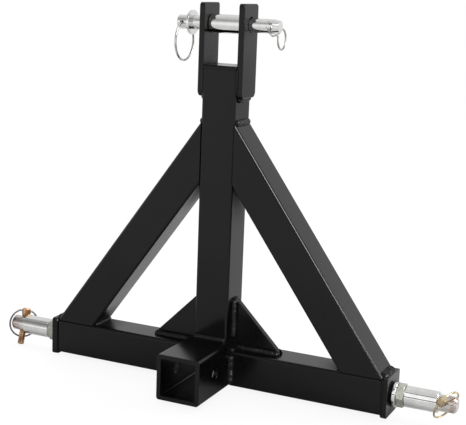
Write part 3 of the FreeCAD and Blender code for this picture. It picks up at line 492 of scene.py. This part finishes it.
def ripples(tree, given, run, section):
    """Share of its distance from the rail that a point keeps: less in a valley."""
    parts = step(tree, "ShaderNodeSeparateXYZ", {0: section}).outputs
    turn = calc(tree, "DIVIDE", calc(tree, "ARCTAN2", parts[1], parts[0]), given["Spread"])
    swell = calc(tree, "SINE", calc(tree, "MULTIPLY", turn, math.pi))
    drift = calc(tree, "ADD", calc(tree, "MULTIPLY", run, WANDER_SCALE), given["Seed"])
    wander = step(tree, "ShaderNodeTexNoise", {"W": drift, "Scale": 1.0, "Detail": 2.0},
                  noise_dimensions="1D").outputs["Fac"]
    count = calc(tree, "ADD", run, calc(tree, "MULTIPLY", given["Bow"], swell))
    count = calc(tree, "DIVIDE", count, given["Pitch"])
    count = calc(tree, "ADD", count, calc(tree, "MULTIPLY", wander, WANDER_RIPPLES))
    part = calc(tree, "FRACT", count)
    hump = calc(tree, "MULTIPLY", calc(tree, "MULTIPLY", part, calc(tree, "SUBTRACT", 1.0, part)), 4.0)
    valley = calc(tree, "POWER", calc(tree, "SUBTRACT", 1.0, hump), VALLEY_POWER)
    puddle = calc(tree, "ADD", calc(tree, "FLOOR", count), given["Seed"])
    chance = step(tree, "ShaderNodeTexWhiteNoise", {"W": puddle}, noise_dimensions="1D").outputs["Value"]
    strength = calc(tree, "MULTIPLY_ADD", chance, PUDDLE_VARIES, PUDDLE_LEAST)
    press = calc(tree, "MULTIPLY", calc(tree, "MULTIPLY", valley, strength), given["Depth"])
    press = calc(tree, "ADD", press, calc(tree, "MULTIPLY", wander, WANDER_PRESS))
    return calc(tree, "SUBTRACT", 1.0, calc(tree, "MINIMUM", press, DEEPEST))


print("ripples press in by at most", DEEPEST, "of the leg")

# %% [markdown]
# ## The whole bead tree
#
# The sweep and the ripples now come together. Ripples could be raised on the bead or pressed into
# it. They are pressed in, so a bead never grows past its own leg. The bead is shaded smooth,
# except where it turns sharply, at its back edge and its feet.

# %% Bead tree
SHARP_ANGLE = 0.9


def bead_tree():
    tree = bpy.data.node_groups.new("weld bead", "GeometryNodeTree")
    face = tree.interface
    face.new_socket("Rail", in_out="INPUT", socket_type="NodeSocketGeometry")
    for name in ("Leg", "Spread", "Step", "Pitch", "Depth", "Bow", "End", "Seed"):
        face.new_socket(name, in_out="INPUT", socket_type="NodeSocketFloat")
    face.new_socket("Closed", in_out="INPUT", socket_type="NodeSocketBool")
    face.new_socket("Material", in_out="INPUT", socket_type="NodeSocketMaterial")
    face.new_socket("Bead", in_out="OUTPUT", socket_type="NodeSocketGeometry")
    given = tree.nodes.new("NodeGroupInput").outputs
    solid, run, middle, section = sweep(tree, given)
    keep = ripples(tree, given, run, section)

    here = tree.nodes.new("GeometryNodeInputPosition").outputs[0]
    out = step(tree, "ShaderNodeVectorMath", {0: here, 1: middle}, operation="SUBTRACT").outputs[0]
    out = step(tree, "ShaderNodeVectorMath", {0: out, "Scale": keep}, operation="SCALE").outputs[0]
    place = step(tree, "ShaderNodeVectorMath", {0: middle, 1: out}, operation="ADD").outputs[0]
    solid = step(tree, "GeometryNodeSetPosition", {"Geometry": solid, "Position": place}).outputs[0]
    solid = step(tree, "GeometryNodeSetShadeSmooth", {"Geometry": solid, "Shade Smooth": True},
                 domain="FACE").outputs[0]
    angle = tree.nodes.new("GeometryNodeInputMeshEdgeAngle").outputs["Unsigned Angle"]
    sharp = step(tree, "FunctionNodeCompare", {0: angle, 1: SHARP_ANGLE}, operation="GREATER_THAN",
                 data_type="FLOAT").outputs[0]
    solid = step(tree, "GeometryNodeSetShadeSmooth",
                 {"Geometry": solid, "Selection": sharp, "Shade Smooth": False}, domain="EDGE").outputs[0]
    solid = step(tree, "GeometryNodeSetMaterial",
                 {"Geometry": solid, "Material": given["Material"]}).outputs[0]
    solid = step(tree, "GeometryNodeRealizeInstances", {"Geometry": solid}).outputs[0]
    tree.links.new(solid, tree.nodes.new("NodeGroupOutput").inputs[0])
    return tree


weld_bead = bead_tree()
print("bead tree nodes:", len(weld_bead.nodes))

# %% [markdown]
# ## Sizes for the seams
#
# A seam lies where two pieces meet, so its place follows from their sizes. These could be typed in
# again, but then the beads would stay behind if a piece changed. They are measured on the CAD
# nodes instead, in millimetres.

# %% Sizes for the seams
X, Y, Z = Vector((1, 0, 0)), Vector((0, 1, 0)), Vector((0, 0, 1))


def reach_of(node, axis, end=1):
    """Lowest or highest place of a CAD node along an axis, in millimetres."""
    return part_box(node)[end][axis] * 1000


tube = reach_of("right_cross_tube", 2)
half = tube / 2
receiver_half = reach_of("receiver_tube", 0)
receiver_top = reach_of("receiver_tube", 2)
bar_end = reach_of("right_cross_tube", 0)
mast_top = reach_of("mast_tube", 2)
gusset_tip = reach_of("right_gusset", 0)
gusset_top = reach_of("right_gusset", 2)
gusset_half = reach_of("right_gusset", 1)
ear_low = reach_of("right_ear", 2, 0)
ear_half = reach_of("right_ear", 1)
brace_top = reach_of("right_brace", 2)
brace_foot = reach_of("right_brace", 0)
slope = math.atan2(brace_top - tube, brace_foot - half)
print("tube", round(tube, 1), "bar end", round(bar_end, 1), "slope", round(math.degrees(slope), 1))

# %% [markdown]
# ## Helpers for the seams
#
# Every seam is a list of corner points in millimetres, the direction in which its bead starts to
# open, its leg, the angle that it fills and the pitch of its ripples. Most seams are straight. The
# one round the bar's end is a square with round corners, and turns the other way on the left, so
# that its bead still opens towards the bar's middle.

# %% Helpers for the seams
RAIL_POINTS = 3
CORNER_STEPS = 6
seams = {name: [] for name in ("receiver_welds", "mast_foot_weld", "gusset_welds", "brace_welds",
                               "ear_welds", "right_end_plate_weld", "left_end_plate_weld")}


def seam(node, start, along, length, first, leg, spread=90.0, pitch=2.4):
    """Straight seam from a place along a direction."""
    points = [Vector(start) + along * (length * number / (RAIL_POINTS - 1)) for number in range(RAIL_POINTS)]
    seams[node].append({"points": points, "first": [Vector(first)] * RAIL_POINTS, "leg": leg,
                        "spread": spread, "pitch": pitch, "closed": False})


def rounded_square(at_x, width, corner, reverse):
    """Points and outward directions round the bar's end, turned one way or the other."""
    points, outward = [], []
    centre = Vector((at_x, 0, width / 2))
    for quarter in range(4):
        diagonal = math.radians(90 * quarter + 45)
        corner_at = Vector((0, math.copysign(width / 2 - corner, math.cos(diagonal)),
                            math.copysign(width / 2 - corner, math.sin(diagonal))))
        for number in range(CORNER_STEPS + 1):
            angle = math.radians(90 * quarter + 90 * number / CORNER_STEPS)
            way = Vector((0, math.cos(angle), math.sin(angle)))
            points.append(centre + corner_at + way * corner)
            outward.append(way)
    if reverse:
        points.reverse()
        outward.reverse()
    return points, outward


print("nodes with seams:", len(seams))

# %% [markdown]
# ## Seams of the receiver and the gussets
#
# The receiver has a thick bead down each side of the bar's front, and two short ones over the bar's
# top, in front of and behind the gusset. Each gusset has four beads, on its two faces: along the bar,
# where they run a little past its tip, and up the mast. One more bead closes the mast's foot.

# %% Seams of the receiver and the gussets
RECEIVER_LEG, RECEIVER_PITCH, SADDLE_LEG, MAST_FOOT_LEG = 8, 2.9, 6, 6
GUSSET_LEG, PAST_TIP = 7, 3
END_GAP = 3

for side in (1, -1):
    x = side * receiver_half
    seam("receiver_welds", (x, -half, END_GAP), Z, tube - 2 * END_GAP, -Y if side > 0 else -X,
         RECEIVER_LEG, pitch=RECEIVER_PITCH)
    for start in (-gusset_half - GUSSET_LEG, half):
        seam("receiver_welds", (x, start, tube), -Y, half - gusset_half - GUSSET_LEG,
             X if side > 0 else Z, SADDLE_LEG)
    for face in (-1, 1):
        along, outward = X * side, Y * face
        level = outward if along.cross(outward).z > 0 else Z
        seam("gusset_welds", (x, face * gusset_half, tube), along, gusset_tip - receiver_half + PAST_TIP,
             level, GUSSET_LEG)
        upright = along if Z.cross(along).dot(outward) > 0 else outward
        seam("gusset_welds", (side * half, face * gusset_half, receiver_top), Z,
             gusset_top - receiver_top, upright, GUSSET_LEG)
seam("mast_foot_weld", (-half, -half, receiver_top), X, tube, Z, MAST_FOOT_LEG)
print("receiver seams:", len(seams["receiver_welds"]), "gusset seams:", len(seams["gusset_welds"]))

# %% [markdown]
# ## Seams of the ears
#
# Each ear is nearly as wide as the mast's side, so its upright beads have only a narrow step to
# lie on. They are slim, and open 120 degrees instead of 90, round the mast's soft corner. The
# bead under the ear has room, and is a full one that ends where the plate's corners round off.

# %% Seams of the ears
EAR_LEG, EAR_SPREAD, EAR_PITCH = 2.4, 120, 1.8
EAR_START, EAR_CORNER, EAR_FOOT_LEG = 8, 5, 6.5
EAR_OPENS = {(1, -1): -120, (1, 1): 0, (-1, -1): 180, (-1, 1): 60}

for side in (1, -1):
    for face in (-1, 1):
        first = math.radians(EAR_OPENS[(side, face)])
        seam("ear_welds", (side * half, face * ear_half, ear_low + EAR_START), Z,
             mast_top - ear_low - EAR_START, Vector((math.cos(first), math.sin(first), 0)),
             EAR_LEG, EAR_SPREAD, EAR_PITCH)
    seam("ear_welds", (side * half, -ear_half + EAR_CORNER, ear_low), Y, 2 * ear_half - 2 * EAR_CORNER,
         X if side > 0 else -Z, EAR_FOOT_LEG)
print("ear seams:", len(seams["ear_welds"]))

# %% [markdown]
# ## Seams of the braces
#
# A brace meets the mast above and below, and the bar at its inner foot. The three beads lie across
# its width, and each fills the angle that the slope leaves. Small tack beads mark where the
# brace's faces meet the bar. They are sunk into the steel, so that only a low bump shows.

# %% Seams of the braces
BRACE_LEG, BRACE_INSET = 5, 4
TACK_LEG, TACK_SPREAD, TACK_PITCH = 2.0, 90, 1.4
TACK_LENGTH, TACK_BACK, TACK_IN, TACK_DOWN = 5, 2, 0.9, 0.6

drop = tube / math.cos(slope)
foot_at = half + (brace_top - tube - drop) / math.tan(slope)
across = tube - 2 * BRACE_INSET
for side in (1, -1):
    for at, height, start, opening in ((half, brace_top, -slope, math.pi / 2 + slope),
                                       (half, brace_top - drop, -math.pi / 2, math.pi / 2 - slope),
                                       (foot_at, tube, math.pi - slope, slope)):
        way = Vector((side * math.cos(start), 0, math.sin(start)))
        seam("brace_welds", (side * at, side * across / 2, height), -Y * side, across, way, BRACE_LEG,
             math.degrees(opening))
    for face in (-1, 1):
        for at in (foot_at, bar_end - TACK_BACK):
            corner = (side * (at - TACK_BACK), face * (half - TACK_IN), tube - TACK_DOWN)
            seam("brace_welds", corner, X * side, TACK_LENGTH, -Y * face if side * face > 0 else Z,
                 TACK_LEG, TACK_SPREAD, TACK_PITCH)
print("brace seams:", len(seams["brace_welds"]))

# %% [markdown]
# ## Seams of the end plates
#
# A bead runs all round the bar where it meets its end plate. A wide, flat bead lies in the angle
# between the brace and the plate above the bar. A full quarter round would stand out too far
# there, so its rail runs inside the steel, and only a shallow arc shows.

# %% Seams of the end plates
PLATE_LEG, PLATE_PITCH, TUBE_CORNER = 3.5, 2.2, 4
WIDE_LEG, WIDE_PITCH, WIDE_DEPTH = 10.5, 2.6, 5.5

for side in (1, -1):
    name = ("right" if side > 0 else "left") + "_end_plate_weld"
    points, outward = rounded_square(side * bar_end, tube, TUBE_CORNER, side < 0)
    seams[name].append({"points": points, "first": outward, "leg": PLATE_LEG, "spread": 90.0,
                        "pitch": PLATE_PITCH, "closed": True})
    shelf = reach_of(name.replace("_weld", ""), 2)
    inner = bar_end - (shelf - tube) / math.tan(slope)
    way = Vector((side * math.cos(math.pi - slope), 0, math.sin(slope)))
    lean = (math.pi - slope) / 2
    deep = Vector((side * (inner - WIDE_DEPTH * math.cos(lean)), -half + END_GAP,
                   shelf - WIDE_DEPTH * math.sin(lean)))
    seam(name, deep, Y, tube - 2 * END_GAP, way if side > 0 else X * side, WIDE_LEG,
         180 - math.degrees(slope), WIDE_PITCH)
print("seams:", {name: len(group) for name, group in seams.items()})

# %% [markdown]
# ## Lay the beads
#
# Each rail becomes a small mesh of edges, the tree runs on it as a modifier, and the result is
# kept as a plain mesh, since the modifier's rail has done its work by then. The modifier's inputs
# are found by name and set by their identifiers, before anything is evaluated.

# %% Lay a bead
RING_STEP = 0.00055
RIPPLE_DEPTH = 0.13
BOW_PER_LEG, END_PER_LEG = 0.0004, 0.0007
FIRST_SEED, SEED_STEP = 10.0, 7.0


def lay(rail, number):
    """Run the tree on one rail and return the finished mesh, in metres."""
    points = [point / 1000 for point in rail["points"]]
    edges = [(index, index + 1) for index in range(len(points) - 1)]
    if rail["closed"]:
        edges.append((len(points) - 1, 0))
    data = bpy.data.meshes.new("rail")
    data.from_pydata(points, edges, [])
    first = data.attributes.new("first", "FLOAT_VECTOR", "POINT")
    for index, way in enumerate(rail["first"]):
        first.data[index].vector = way
    thing = bpy.data.objects.new("rail", data)
    scene.collection.objects.link(thing)
    modifier = thing.modifiers.new("bead", "NODES")
    modifier.node_group = weld_bead
    values = {"Leg": rail["leg"] / 1000, "Spread": math.radians(rail["spread"]), "Step": RING_STEP,
              "Pitch": rail["pitch"] / 1000, "Depth": RIPPLE_DEPTH, "Bow": rail["leg"] * BOW_PER_LEG,
              "End": rail["leg"] * END_PER_LEG, "Seed": FIRST_SEED + SEED_STEP * number,
              "Closed": rail["closed"], "Material": finishes["black_coat"]}
    for item in weld_bead.interface.items_tree:
        if item.name in values:
            modifier[item.identifier] = values[item.name]
    graph = bpy.context.evaluated_depsgraph_get()
    result = bpy.data.meshes.new_from_object(thing.evaluated_get(graph), depsgraph=graph)
    bpy.data.objects.remove(thing)
    bpy.data.meshes.remove(data)
    return result


print("a ring every", RING_STEP * 1000, "mm")

# %% [markdown]
# ## One piece for each weld node
#
# The CAD part has one node for each group of welds. The beads of a group are joined into one mesh,
# which stands for that node and rides on the frame, as the steel under it does.

# %% Join the beads
def joined(name, meshes):
    """One mesh object from several, with their places kept."""
    things = []
    for data in meshes:
        thing = bpy.data.objects.new(name, data)
        scene.collection.objects.link(thing)
        things.append(thing)
    with bpy.context.temp_override(active_object=things[0], object=things[0], selected_objects=things,
                                   selected_editable_objects=things):
        if len(things) > 1:
            bpy.ops.object.join()
    return things[0]


number = 0
for node, group in seams.items():
    meshes = []
    for rail in group:
        meshes.append(lay(rail, number))
        number += 1
    piece = joined(node.replace("weld", "bead"), meshes)
    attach(piece, "frame")
    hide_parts(node)
    print(piece.name, len(piece.data.polygons), "faces")

# %% [markdown]
# ## Floor
#
# The real thing was photographed on white, with hardly a shadow. Stronger lamps could whiten the
# floor, but they would wash out the frame. So the floor is a plain pale sheet that lights itself
# for the camera alone: it reads as white, and still keeps a faint shadow under the frame.

# %% Floor
FLOOR_GAP = 0.0004
FLOOR_SIDE, FLOOR_FRONT, FLOOR_BACK = 4, -0.62, 7
FLOOR_PALE, FLOOR_PALER = (0.78, 0.78, 0.78, 1.0), (0.80, 0.80, 0.80, 1.0)
FLOOR_SEEN, FLOOR_GLOW = (0.13, 0.13, 0.13, 1.0), 0.90
FLOOR_ROUGHNESS, FLOOR_CLOUDS = 0.9, 6.0


def floor_material():
    material, tree, shader, place = new_material("pale floor", 0.0, 0.0)
    shader.inputs["Roughness"].default_value = FLOOR_ROUGHNESS
    tone = spread(tree, noise(tree, place, FLOOR_CLOUDS), NOISE_LEAST, NOISE_MOST)
    seen = tree.nodes.new("ShaderNodeLightPath").outputs["Is Camera Ray"]
    plain = mix(tree, tone, FLOOR_PALE, FLOOR_PALER)
    tree.links.new(mix(tree, seen, plain, FLOOR_SEEN), shader.inputs["Base Color"])
    shader.inputs["Emission Color"].default_value = (1.0, 1.0, 1.0, 1.0)
    tree.links.new(calc(tree, "MULTIPLY", seen, FLOOR_GLOW), shader.inputs["Emission Strength"])
    return material


lowest = box_at_start[0].z - FLOOR_GAP
mesh = bpy.data.meshes.new("floor")
mesh.from_pydata([(-FLOOR_SIDE, FLOOR_FRONT, lowest), (FLOOR_SIDE, FLOOR_FRONT, lowest),
                  (FLOOR_SIDE, FLOOR_BACK, lowest), (-FLOOR_SIDE, FLOOR_BACK, lowest)], [],
                 [(0, 1, 2, 3)])
floor = bpy.data.objects.new("floor", mesh)
floor.data.materials.append(floor_material())
scene.collection.objects.link(floor)
print("floor at", round(lowest, 5))

# %% [markdown]
# ## Surround
#
# The world is white where the camera looks. For all other rays it is a simple studio: white behind,
# a bright strip at eye level, a light panel with a dark rim up in front, and a dim corner to its
# left. Real panels could be built round the part, but angles in the world's own tree do the same
# and cast no shadows. The strip and the panel give the round pins their light bands, and the rim
# gives the thin dark lines beside them. First come the grey levels by elevation, for the half in
# front and the half behind. A colour ramp holds no grey above 1, so the levels are divided by the
# brightest one allowed and multiplied back.

# %% Grey levels of the surround
BRIGHTEST = 1.25
FRONT_GREYS = [(-90, 0.50), (-52, 0.74), (-25, 0.82), (-8, 1.0), (-3, 1.12), (10, 1.12),
               (22, 0.80), (34, 0.50), (42, 0.42), (54, 0.70), (66, 0.80), (90, 0.78)]
BACK_GREYS = [(-90, 0.5), (-10, 0.95), (10, 0.92), (24, 0.84), (45, 0.90), (60, 0.90), (90, 0.80)]
BACK_STARTS, BACK_FULL = -0.1, 0.25

world = bpy.data.worlds.new("studio")
scene.world = world
world.use_nodes = True
studio = world.node_tree
sky = studio.nodes["Background"]
split = studio.nodes.new("ShaderNodeSeparateXYZ")
studio.links.new(studio.nodes.new("ShaderNodeTexCoord").outputs["Generated"], split.inputs[0])
height = calc(studio, "ARCSINE", split.outputs["Z"])
turned = remap(studio, height, -math.pi / 2, math.pi / 2, 0.0, 1.0)


def ramp(tree, value, stops):
    """Grey levels by elevation, given in degrees above the horizon."""
    node = tree.nodes.new("ShaderNodeValToRGB")
    bar = node.color_ramp
    for degrees, grey in stops[1:-1]:
        bar.elements.new((degrees + 90) / 180)
    for element, (degrees, grey) in zip(bar.elements, stops):
        element.position = (degrees + 90) / 180
        element.color = (grey / BRIGHTEST, grey / BRIGHTEST, grey / BRIGHTEST, 1.0)
    tree.links.new(value, node.inputs[0])
    return calc(tree, "MULTIPLY", node.outputs[0], BRIGHTEST)


behind = remap(studio, split.outputs["Y"], BACK_STARTS, BACK_FULL, 0.0, 1.0, "SMOOTHSTEP")
ahead_half = ramp(studio, turned, FRONT_GREYS)
back_half = ramp(studio, turned, BACK_GREYS)
print("grey levels:", len(FRONT_GREYS), "in front,", len(BACK_GREYS), "behind")

# %% [markdown]
# ## Panel, rim and corner
#
# The rim and the corner are places in the front half that are dimmed, and the panel is a smaller
# one inside the rim that is brightened again, so that the rim is left as a dark frame round it.
# Each place is a window in two directions, with soft borders: its bottom and top are angles above
# the horizon in radians, and its left and right are the direction's X.

# %% Panel, rim and corner
RIM, RIM_DIM = (0.13, 1.0, -0.35, 0.50, 0.015), 0.88
CORNER, CORNER_DIM = (0.22, 1.1, -0.90, -0.48, 0.06), 0.4
PANEL, PANEL_LIGHT = (0.27, 0.90, -0.30, 0.45, 0.02), 1.2


def window(tree, value, low, high, soft):
    """One between two limits and nothing outside them."""
    rise = remap(tree, value, low - soft, low + soft, 0.0, 1.0)
    fall = remap(tree, value, high - soft, high + soft, 1.0, 0.0)
    return calc(tree, "MULTIPLY", rise, fall)


def region(tree, bottom, top, left, right, soft):
    """A place in the front half of the world."""
    tall = window(tree, height, bottom, top, soft)
    wide = window(tree, split.outputs["X"], left, right, soft)
    return calc(tree, "MULTIPLY", calc(tree, "MULTIPLY", tall, wide), calc(tree, "SUBTRACT", 1.0, behind))


level = calc(studio, "ADD", calc(studio, "MULTIPLY", back_half, behind),
             calc(studio, "MULTIPLY", ahead_half, calc(studio, "SUBTRACT", 1.0, behind)))
for place, strength in ((region(studio, *RIM), RIM_DIM), (region(studio, *CORNER), CORNER_DIM)):
    keep = calc(studio, "SUBTRACT", 1.0, calc(studio, "MULTIPLY", place, strength))
    level = calc(studio, "MULTIPLY", level, keep)
panel = region(studio, *PANEL)
level = calc(studio, "ADD", level, calc(studio, "MULTIPLY", panel, PANEL_LIGHT))
seen = studio.nodes.new("ShaderNodeLightPath").outputs["Is Camera Ray"]
studio.links.new(calc(studio, "MAXIMUM", level, seen), sky.inputs["Color"])
sky.inputs["Strength"].default_value = 1.0
print("world nodes:", len(studio.nodes))

# %% [markdown]
# ## Lamps
#
# One large soft lamp hangs over the frame and gives the faint shadow. It is kept out of the gloss,
# where it would show as a square. A smaller one stands to the right and behind, for the right hand
# faces and the dark crescent that the washer throws on the end plate. The third stands far off to
# the right and in front. More light all round would bring out the edges, but the faces beside them
# too. So this lamp is kept out of the matte light, and shows only as a reflection in the rounded
# edges, where it draws the thin bright lines along the braces and the gusset.

# %% Lamps
LAMPS = {"overhead": ((0.1, 0.7, 2.1), (0, 0, 0.2), 1.5, 12.0),
         "side": ((2.0, 1.0, 1.0), (0.1, 0, 0.15), 0.5, 14.0),
         "edge": ((4.0, -1.6, 3.5), (0, 0, 0.2), 2.0, 300.0)}


def lamp(name, place, target, width, power):
    """Square lamp that faces a target: metres and watts."""
    data = bpy.data.lights.new(name, "AREA")
    data.shape = "SQUARE"
    data.size = width
    data.energy = power
    thing = bpy.data.objects.new(name, data)
    thing.location = place
    thing.rotation_euler = (Vector(target) - Vector(place)).to_track_quat("-Z", "Y").to_euler()
    scene.collection.objects.link(thing)
    return thing


lamps = {name: lamp(name, *values) for name, values in LAMPS.items()}
lamps["overhead"].visible_glossy = False
lamps["edge"].visible_diffuse = False
print("lamps:", list(lamps))

# %% [markdown]
# ## Camera
#
# A camera could be placed by eye, but then shape and view are hard to tell apart. Here it stands
# where a fit to the photo's edges put it: about 1.6 m away, to the right, and looking slightly
# down, with a long lens and a slight roll. The fit gave the focal length in pixels, and the
# photo's width turns it into millimetres.

# %% Camera
TURN, TILT, ROLL = 24.57, 11.60, 2.18
FOCAL_PIXELS, PHOTO_WIDTH, SENSOR_WIDTH = 1123.2, 466, 36.0
NEAREST, FARTHEST = 0.05, 50.0

yaw, pitch, roll = (math.radians(angle) for angle in (TURN, TILT, ROLL))
ahead = Vector((-math.sin(yaw) * math.cos(pitch), math.cos(yaw) * math.cos(pitch), -math.sin(pitch)))
level_right = Vector((math.cos(yaw), math.sin(yaw), 0))
level_up = level_right.cross(ahead)
right = level_right * math.cos(roll) + level_up * math.sin(roll)
up = level_up * math.cos(roll) - level_right * math.sin(roll)
stand = Vector((0.64734, -1.37937, 0.55267))
lens = bpy.data.cameras.new("camera")
lens.sensor_width = SENSOR_WIDTH
lens.lens = FOCAL_PIXELS / PHOTO_WIDTH * SENSOR_WIDTH
lens.clip_start = NEAREST
lens.clip_end = FARTHEST
camera = bpy.data.objects.new("camera", lens)
camera.matrix_world = Matrix(((right.x, up.x, -ahead.x, stand.x), (right.y, up.y, -ahead.y, stand.y),
                              (right.z, up.z, -ahead.z, stand.z), (0, 0, 0, 1)))
scene.collection.objects.link(camera)
scene.camera = camera
scene.view_settings.view_transform = "Standard"
print("camera at", [round(value, 3) for value in stand], "lens", round(lens.lens, 2))

# %% [markdown]
# ## Sizes and finish
#
# The CAD part's box, taken before the finishes, beads, floor and lamps were added, is printed.

# %% Print the box
print("box before", [round(value, 4) for corner in box_at_start for value in corner])
